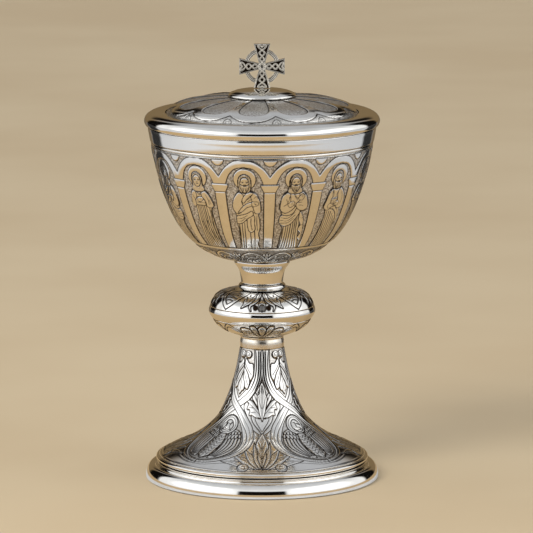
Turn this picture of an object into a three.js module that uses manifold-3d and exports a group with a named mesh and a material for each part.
// Covered communion chalice (ciborium): a footed silver cup with a knop stem, and a loose lid
// with a Celtic cross. Millimetres, +Z up, origin at the centre of the base on the table.
// The cup stack is clamped by a tie rod that hangs from the boss under the cup and ends in a
// nut under the foot. The lid rests on the lip and lifts straight off.

import * as THREE from 'three';
import { mergeVertices } from 'three/addons/utils/BufferGeometryUtils.js';
import Module from 'manifold-3d';

// Driving dimensions

const GAP = 0.3; // air between pieces that rest on each other
const WALL = 0.9; // spun sheet

const FOOT_R = 57.2; // edge of the trumpet foot
const FOOT_Z = 13.3;
const FOOT_TOP_R = 12.1;
const FOOT_TOP_Z = 73.3;
const BASE_R = 64.6; // widest part of the plinth ring
const BASE_SIT_R = 62; // outer edge of the flat ring that meets the table
const BASE_TOP_Z = 9.9;

const KNOP_R = 29.5;
const KNOP_BOTTOM_Z = 80.2;
const KNOP_TOP_Z = 105.5;
const GIRDLE_LOW_Z = 90.0;
const GIRDLE_TOP_Z = 96.5;

const BEAD_R = 13.1; // bead ring on the knop
const BEAD_TOP_Z = 109.2;
const SPOOL_TOP_Z = 122.2;

const BOWL_BOTTOM_R = 15.5;
const BOWL_BOTTOM_Z = 122.5;
const BOWL_TOP_R = 61.2;
const BOWL_TOP_Z = 186.5;
const BEAD_BAND = 1.9; // height of the bead between the bowl and the lip
const LIP_Z = 196.7; // flat top of the lip, where the lid rests
const LIP_R = 62.9;
const LIP_WALL = 1.4;

const LID_R = 65; // widest part of the lid's rolled rim
const LID_Z = 197;
const DOME_R = 52.9; // foot of the chased dome
const DOME_Z = 204.3;
const DOME_TOP_Z = 212.9;
const DISC_R = 18.6;
const DISC_Z = 213.2;
const DISC_CROWN_Z = 217.5;

const CROSS_Z = 229.7; // centre of the cross
const ARM = 12.5; // from the centre to the end of the top and side arms
const ARM_ROOT = 1.7; // half width of an arm at the crossing
const ARM_END = 4.6; // half width of an arm at its end
const CROSS_THICK = 2;
const RING_OUT = 10;
const RING_IN = 7.7;
const RING_THICK = 1.2;
const SHANK_R = 1.25;
const SHANK_END_Z = 206.2;

const ROD_R = 3; // tie rod of 6 mm
const ROD_HOLE_R = 3.4;
const BOSS_R = 8;
const NUT_FLATS = 10; // across the flats

// Facets round a turned piece
const COARSE = 20;
const FINE = 32;

const silver = { color: 0xd9d6cf, metalness: 1, roughness: 0.18 };
const chased = { color: 0xa8a49b, metalness: 1, roughness: 0.38 };
const gilt = { color: 0xd8b25a, metalness: 1, roughness: 0.22 };
const steel = { color: 0x9a9c9e, metalness: 1, roughness: 0.35 };
const brass = { color: 0xb79a55, metalness: 1, roughness: 0.4 };

const wasm = await Module();
wasm.setup();

// Helpers. A profile is a list of [radius, height] that runs anticlockwise round its section.

function mesh(name, geometry, finish) {
  const made = new THREE.Mesh(geometry, new THREE.MeshStandardMaterial(finish));
  made.name = name;
  return made;
}

function turned(name, profile, facets, finish) {
  const points = profile.map(([r, z]) => new THREE.Vector2(r, z));
  const onAxis = points[0].x === 0 && points[points.length - 1].x === 0;
  if (!onAxis) points.push(points[0].clone());
  const geometry = new THREE.LatheGeometry(points, facets);
  geometry.rotateX(Math.PI / 2);
  return mesh(name, geometry, finish);
}

// A smooth run of count + 1 points through the given ones
function smooth(through, count) {
  const curve = new THREE.SplineCurve(through.map(([r, z]) => new THREE.Vector2(r, z)));
  return curve.getSpacedPoints(count).map((p) => [p.x, p.y]);
}

// The same run, moved to its left by a distance: the inner face of a sheet whose outer face
// is the run taken upwards
function inset(run, distance) {
  return run.map(([r, z], i) => {
    const a = run[Math.max(i - 1, 0)];
    const b = run[Math.min(i + 1, run.length - 1)];
    const length = Math.hypot(b[0] - a[0], b[1] - a[1]);
    return [r - ((b[1] - a[1]) / length) * distance, z + ((b[0] - a[0]) / length) * distance];
  });
}

function arc(centreR, centreZ, radiusR, radiusZ, from, to, count) {
  const turn = (i) => THREE.MathUtils.degToRad(from + ((to - from) * i) / count);
  return Array.from({ length: count + 1 }, (_, i) => [
    centreR + radiusR * Math.cos(turn(i)),
    centreZ + radiusZ * Math.sin(turn(i)),
  ]);
}

function ringProfile(inner, outer, low, high) {
  return [[inner, low], [outer, low], [outer, high], [inner, high]];
}

function hexNut(name, flats, bore, low, height, finish) {
  const outline = new THREE.Shape();
  const corner = flats / Math.sqrt(3);
  for (let i = 0; i < 6; i++) {
    const turn = (i * Math.PI) / 3;
    const go = i === 0 ? 'moveTo' : 'lineTo';
    outline[go](corner * Math.cos(turn), corner * Math.sin(turn));
  }
  outline.closePath();
  const hole = new THREE.Path();
  hole.absarc(0, 0, bore, 0, 2 * Math.PI, true);
  outline.holes.push(hole);
  const options = { depth: height, bevelEnabled: false, curveSegments: 12 };
  const nut = mesh(name, new THREE.ExtrudeGeometry(outline, options), finish);
  nut.position.z = low;
  return nut;
}

function solid(geometry) {
  const bare = geometry.clone();
  bare.deleteAttribute('normal');
  bare.deleteAttribute('uv');
  const merged = mergeVertices(bare, 1e-4);
  return new wasm.Manifold(
    new wasm.Mesh({
      numProp: 3,
      vertProperties: merged.attributes.position.array,
      triVerts: new Uint32Array(merged.index.array),
    }),
  );
}

function geometryOf(made) {
  const { vertProperties, triVerts } = made.getMesh();
  const geometry = new THREE.BufferGeometry();
  geometry.setAttribute('position', new THREE.BufferAttribute(vertProperties, 3));
  geometry.setIndex(new THREE.BufferAttribute(triVerts, 1));
  return geometry;
}

// Foot

function baseRim() {
  const innerR = FOOT_R - 3.2;
  const bulge = arc(BASE_R - 4.2, 1.4, 4.2, 6.7, -8, 115, 8);
  const gutter = [[58.3, 8], [58.3, 9], [58.9, 9.4], [58.9, BASE_TOP_Z]];
  const profile = [[BASE_SIT_R - 4, 0], [BASE_SIT_R, 0], [63.9, 0.1], ...bulge, ...gutter,
    [innerR, BASE_TOP_Z], [innerR, BASE_TOP_Z - 1.5], [BASE_SIT_R - 4, BASE_TOP_Z - 3.7]];
  return turned('base_rim', profile, FINE, silver);
}

function stepRing() {
  const low = BASE_TOP_Z + GAP;
  const high = FOOT_Z - GAP;
  const bead = arc(FOOT_R + 0.2, (low + high) / 2, 1.6, (high - low) / 2, -90, 90, 5);
  return turned('step_ring', [[FOOT_R - 3.2, low], ...bead, [FOOT_R - 3.2, high]], FINE, silver);
}

function foot() {
  const sweep = [[FOOT_R, FOOT_Z], [51, 16.6], [37, 23.4], [26, 32.5], [19, 45.2], [14.6, 60.3],
    [FOOT_TOP_R, FOOT_TOP_Z]];
  const outer = smooth(sweep, 13);
  const inner = inset(smooth(sweep, 9), WALL).slice(1, -1).reverse();
  const web = [[ROD_HOLE_R, FOOT_TOP_Z], [ROD_HOLE_R, FOOT_TOP_Z - 1.2],
    [FOOT_TOP_R - WALL, FOOT_TOP_Z - 1.2]];
  return turned('foot', [...outer, ...web, ...inner, [FOOT_R - 2, FOOT_Z]], FINE, chased);
}

function neckCollar() {
  const low = FOOT_TOP_Z + GAP;
  const high = KNOP_BOTTOM_Z - GAP;
  const wall = 1.2;
  const profile = [[12.1 - wall, low], [12.1, low], [12, low + 4], [11.6, high - 1.1],
    [12.3, high - 0.6], [12.4, high], [ROD_HOLE_R, high], [ROD_HOLE_R, high - wall],
    [11.9 - wall, high - wall]];
  return turned('neck_collar', profile, COARSE, silver);
}

// Knop

function knopLower() {
  const outer = smooth([[12.3, KNOP_BOTTOM_Z], [18, 82.1], [24, 85.6],
    [27.4, GIRDLE_LOW_Z - GAP]], 5);
  const [edgeR, edgeZ] = outer[outer.length - 1];
  const inner = inset(outer, WALL).slice(0, -1).reverse();
  const profile = [[ROD_HOLE_R, KNOP_BOTTOM_Z], ...outer, [edgeR - 1.6, edgeZ], ...inner,
    [ROD_HOLE_R, KNOP_BOTTOM_Z + WALL]];
  return turned('knop_lower', profile, FINE, chased);
}

function knopGirdle() {
  const face = smooth([[27.6, GIRDLE_LOW_Z], [28.9, 92], [KNOP_R, 94.2], [28.9, GIRDLE_TOP_Z]], 7);
  const profile = [[26.4, GIRDLE_LOW_Z], ...face, [26.4, GIRDLE_TOP_Z]];
  return turned('knop_girdle', profile, FINE, silver);
}

function knopUpper() {
  const outer = smooth([[28.8, GIRDLE_TOP_Z + GAP], [27.8, 99.3], [25, 102.8], [20, 105.1],
    [15, KNOP_TOP_Z]], 6);
  const [edgeR, edgeZ] = outer[0];
  const inner = inset(outer, WALL).slice(1).reverse();
  const profile = [...outer, [ROD_HOLE_R, KNOP_TOP_Z], [ROD_HOLE_R, KNOP_TOP_Z - WALL], ...inner,
    [edgeR - WALL, edgeZ]];
  return turned('knop_upper', profile, FINE, chased);
}

function knopSleeve() {
  const low = KNOP_BOTTOM_Z + WALL + GAP;
  const high = KNOP_TOP_Z - WALL - GAP;
  return turned('knop_sleeve', ringProfile(ROD_HOLE_R, 6.5, low, high), COARSE, brass);
}

// Stem

function stemBead() {
  const low = KNOP_TOP_Z + GAP;
  const face = arc(BEAD_R - 1.7, (low + BEAD_TOP_Z) / 2, 1.7, (BEAD_TOP_Z - low) / 2, -90, 90, 6);
  const profile = [[ROD_HOLE_R, low], ...face, [ROD_HOLE_R, BEAD_TOP_Z]];
  return turned('stem_bead', profile, COARSE, silver);
}

function stemSpool() {
  const low = BEAD_TOP_Z + GAP;
  const web = 2.2;
  const face = smooth([[11.5, low], [12.1, 114], [12.9, 117], [15.3, 120.6],
    [BOWL_BOTTOM_R, SPOOL_TOP_Z]], 8);
  const boreR = BOSS_R + GAP;
  const profile = [[ROD_HOLE_R, low], ...face, [boreR, SPOOL_TOP_Z], [boreR, low + web],
    [ROD_HOLE_R, low + web]];
  return turned('stem_spool', profile, COARSE, silver);
}

// Cup

// Outer face of the bowl, from its seat on the stem up to the grooves under the lip
function bowlFace(steps) {
  return smooth([[BOWL_BOTTOM_R, BOWL_BOTTOM_Z], [25, 125], [34, 129.6], [42, 136.8],
    [48.5, 146.3], [54.8, 161.4], [59.3, 177], [BOWL_TOP_R, BOWL_TOP_Z]], steps);
}

function bowlShell() {
  const outer = bowlFace(13);
  const inner = inset(bowlFace(9), WALL).slice(1).reverse();
  const holeR = BOSS_R + GAP;
  const bottom = [[holeR, BOWL_BOTTOM_Z + WALL], [holeR, BOWL_BOTTOM_Z]];
  return turned('bowl_shell', [...outer, ...inner, ...bottom], FINE, chased);
}

function bowlBead() {
  const low = BOWL_TOP_Z + GAP;
  const high = low + BEAD_BAND;
  const face = arc(BOWL_TOP_R - 0.8, (low + high) / 2, 0.9, (high - low) / 2, -90, 90, 5);
  return turned('bowl_bead', [[BOWL_TOP_R - WALL, low], ...face, [BOWL_TOP_R - WALL, high]],
    FINE, silver);
}

// The gilt cup inside the bowl. Its thick lip steps out over the bead.
function cupLiner() {
  const skin = inset(bowlFace(9), WALL + GAP).slice(1);
  const ledge = BOWL_TOP_Z + GAP + BEAD_BAND + GAP;
  const neckR = BOWL_TOP_R - WALL - GAP;
  const band = smooth([[61.7, ledge], [62.1, 191], [LIP_R, LIP_Z - 1]], 3);
  const outside = [...skin, [neckR, ledge], ...band, [LIP_R, LIP_Z]];
  const inside = inset(skin, WALL).reverse();
  const mouthR = LIP_R - LIP_WALL;
  const mouth = [[mouthR, LIP_Z], [mouthR - 0.8, ledge + 1.6], [neckR - WALL, ledge - 0.8]];
  const bottomZ = skin[0][1];
  return turned('cup_liner',
    [[0, bottomZ], ...outside, ...mouth, ...inside, [0, bottomZ + WALL]], FINE, gilt);
}

function cupBoss() {
  const low = BEAD_TOP_Z + GAP + 2.2 + GAP;
  const high = BOWL_BOTTOM_Z + WALL + GAP;
  const profile = [[0, high - 2.5], [ROD_HOLE_R, high - 2.5], [ROD_HOLE_R, low], [BOSS_R, low],
    [BOSS_R, high], [0, high]];
  return turned('cup_boss', profile, COARSE, brass);
}

// Clamp stack inside the stem

const WASHER_TOP_Z = FOOT_TOP_Z - 1.2 - GAP;
const WASHER_Z = WASHER_TOP_Z - 1.6;
const LOCK_Z = WASHER_Z - GAP - 0.9;
const NUT_Z = LOCK_Z - GAP - 5;

function tieRod() {
  const high = BOWL_BOTTOM_Z + WALL + GAP - 2.5 - GAP;
  const low = NUT_Z - 3;
  const profile = [[0, low], [ROD_R - 0.6, low], [ROD_R, low + 0.6], [ROD_R, high], [0, high]];
  return turned('tie_rod', profile, 24, steel);
}

function footWasher() {
  return turned('foot_washer', ringProfile(ROD_HOLE_R, 9.6, WASHER_Z, WASHER_TOP_Z), COARSE, steel);
}

function lockWasher() {
  return turned('lock_washer', ringProfile(ROD_HOLE_R, 6.2, LOCK_Z, LOCK_Z + 0.9), COARSE, steel);
}

// Lid

function lidFlange() {
  const slope = smooth([[LID_R, 199.8], [64.7, 201.3], [63.5, 203], [61.2, 204.3], [57.6, 205],
    [DOME_R + 0.4, 204.6]], 9);
  const roll = [[LID_R - 3.8, LID_Z], [LID_R - 2, LID_Z], [LID_R - 0.7, 197.9]];
  const under = [[DOME_R + 0.4, DOME_Z - 1.3], [57.6, 201.8], [LID_R - 3.8, 199]];
  return turned('lid_flange', [...roll, ...slope, ...under], FINE, silver);
}

// Ring under the flange that drops into the mouth of the cup
function lidBezel() {
  const outerR = LIP_R - LIP_WALL - 1.9;
  return turned('lid_bezel', ringProfile(outerR - 1, outerR, LIP_Z - 6.5, LIP_Z + 3.2),
    FINE, silver);
}

function lidDome() {
  const outer = smooth([[DOME_R, DOME_Z - 0.2], [52.2, 205.6], [50.5, 207.1], [47, 208.8],
    [42, 210.3], [36, 211.3], [30, 212.1], [24, 212.6], [DISC_R, DOME_TOP_Z]], 10);
  const inner = inset(outer, WALL).slice(1).filter((_, i) => i % 2 === 1).reverse();
  const hole = [[SHANK_R + GAP, DOME_TOP_Z], [SHANK_R + GAP, DOME_TOP_Z - WALL]];
  return turned('lid_dome', [...outer, ...hole, ...inner, [DOME_R - WALL, DOME_Z - 0.2]],
    FINE, chased);
}

function finialDisc() {
  const edge = arc(DISC_R - 0.7, DISC_Z + 0.7, 0.7, 0.7, -90, 45, 4);
  const crown = smooth([edge[edge.length - 1], [16, 215.8], [12, 216.8], [6, 217.4],
    [SHANK_R + GAP, DISC_CROWN_Z]], 6);
  const profile = [[SHANK_R + GAP, DISC_Z], ...edge, ...crown.slice(1)];
  return turned('finial_disc', profile, FINE, silver);
}

// Four flared arms. Each adds its two end corners and the inner corner that follows them,
// anticlockwise from the arm along +X. The lower arm is cut short where it meets the disc.
function crossOutline() {
  const shape = new THREE.Shape();
  const reaches = [ARM, ARM, ARM, CROSS_Z - DISC_CROWN_Z - GAP];
  reaches.forEach((reach, side) => {
    const c = Math.round(Math.cos((side * Math.PI) / 2));
    const s = Math.round(Math.sin((side * Math.PI) / 2));
    const corners = [[reach, -ARM_END], [reach, ARM_END], [ARM_ROOT, ARM_ROOT]];
    corners.forEach(([x, y], i) => {
      const go = side === 0 && i === 0 ? 'moveTo' : 'lineTo';
      shape[go](x * c - y * s, x * s + y * c);
    });
  });
  shape.closePath();
  return shape;
}

function cross() {
  const arms = new THREE.ExtrudeGeometry(crossOutline(), {
    depth: CROSS_THICK, bevelEnabled: false,
  });
  arms.translate(0, 0, -CROSS_THICK / 2);
  const band = new THREE.Shape();
  band.absarc(0, 0, RING_OUT, 0, 2 * Math.PI, false);
  const hollow = new THREE.Path();
  hollow.absarc(0, 0, RING_IN, 0, 2 * Math.PI, true);
  band.holes.push(hollow);
  const ring = new THREE.ExtrudeGeometry(band, {
    depth: RING_THICK, bevelEnabled: false, curveSegments: 10,
  });
  ring.translate(0, 0, -RING_THICK / 2);
  for (const flat of [arms, ring]) {
    flat.rotateX(Math.PI / 2);
    flat.translate(0, 0, CROSS_Z);
  }
  const shankTop = DISC_CROWN_Z + GAP + 0.5;
  const shank = new THREE.CylinderGeometry(SHANK_R, SHANK_R, shankTop - SHANK_END_Z, 16);
  shank.rotateX(Math.PI / 2);
  shank.translate(0, 0, (shankTop + SHANK_END_Z) / 2);
  const joined = solid(arms).add(solid(ring)).add(solid(shank));
  return mesh('cross', geometryOf(joined), chased);
}

const DOME_INSIDE_Z = DOME_TOP_Z - WALL;

function finialWasher() {
  const high = DOME_INSIDE_Z - GAP;
  return turned('finial_washer', ringProfile(SHANK_R + GAP, 4.5, high - 0.8, high), COARSE, brass);
}

function finialNut() {
  const low = DOME_INSIDE_Z - GAP - 0.8 - GAP - 2.6;
  return hexNut('finial_nut', 5.5, SHANK_R + GAP, low, 2.6, brass);
}

const cup = new THREE.Group();
cup.add(
  baseRim(), stepRing(), foot(), neckCollar(),
  knopLower(), knopGirdle(), knopUpper(), knopSleeve(),
  stemBead(), stemSpool(),
  bowlShell(), bowlBead(), cupLiner(), cupBoss(),
  tieRod(), footWasher(), lockWasher(),
  hexNut('tie_nut', NUT_FLATS, ROD_HOLE_R, NUT_Z, 5, steel),
);

const lid = new THREE.Group();
lid.add(lidFlange(), lidBezel(), lidDome(), finialDisc(), cross(), finialWasher(), finialNut());

const chalice = new THREE.Group();
chalice.add(cup, lid);

export default chalice;
